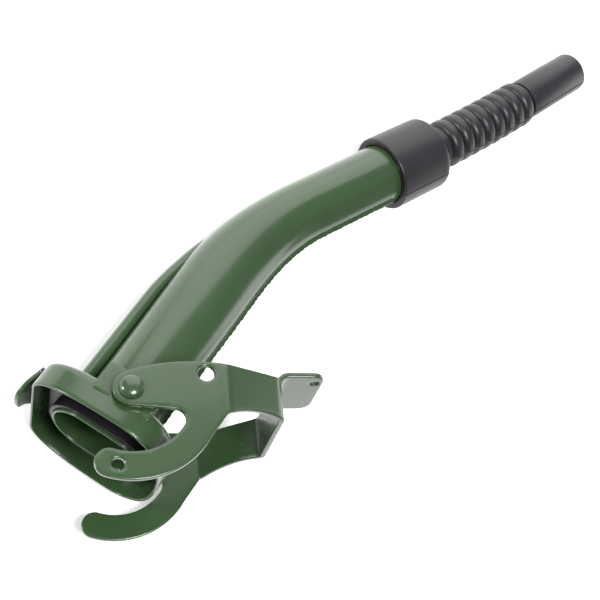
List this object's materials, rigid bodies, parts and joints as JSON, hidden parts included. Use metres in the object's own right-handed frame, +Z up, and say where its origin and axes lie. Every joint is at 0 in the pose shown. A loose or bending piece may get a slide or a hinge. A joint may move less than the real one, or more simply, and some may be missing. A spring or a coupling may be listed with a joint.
{
  "type": "pouring spout",
  "caption": "Clamp-on pouring spout for a steel fuel can: bent tube with breather, pressed dish with gasket, folded clamp lever on two rivets and a flexible rubber end.",
  "frame": {"origin": "centre of the bounding box's bottom face, on the floor that the spout lies on", "axes": "+X along the spout from the dish to the rubber tip, +Z up, +Y towards the breather's side of the tube; the spout lies rolled on its side, on the far rivet, the dish's rim and the sleeve"},
  "size_m": [0.3664, 0.156, 0.0907],
  "materials": {
    "green_enamel": "glossy",
    "black_rubber": "matte"
  },
  "bodies": {
    "spout": {"base_dish": "green_enamel", "inlet_collar": "green_enamel", "seal_gasket": "black_rubber", "rear_claw": "green_enamel", "spout_tube": "green_enamel", "breather_pipe": "green_enamel", "inner_breather_pipe": "green_enamel", "near_rivet": "green_enamel", "near_washer": "green_enamel", "far_rivet": "green_enamel", "far_washer": "green_enamel", "hose_sleeve": "black_rubber", "lower_bellows": "black_rubber"},
    "lever": {"clamp_lever": "green_enamel"},
    "hose_mid": {"middle_bellows_ring": "black_rubber", "upper_bellows": "black_rubber"},
    "hose_end": {"hose_tip": "black_rubber"}
  },
  "joints": [
    {"name": "lever_hinge", "type": "hinge", "parent": "spout", "child": "lever", "pos_m": [-0.14013, 0.03484, 0.03822], "axis": [0.1901, 0.4396, 0.8778], "range_deg": [-30, 22]},
    {"name": "hose_bend", "type": "hinge", "parent": "spout", "child": "hose_mid", "pos_m": [0.0886, -0.02865, 0.02048], "axis": [0.1901, 0.4396, 0.8778], "range_deg": [-30, 30], "stiffness_Nm_per_rad": 1.2, "deforming": ["lower_bellows"]},
    {"name": "hose_side_bend", "type": "hinge", "parent": "hose_mid", "child": "hose_end", "pos_m": [0.12828, -0.04682, 0.02098], "axis": [0.3484, 0.8058, -0.4789], "range_deg": [-30, 30], "stiffness_Nm_per_rad": 1.2, "deforming": ["upper_bellows"]}
  ]
}
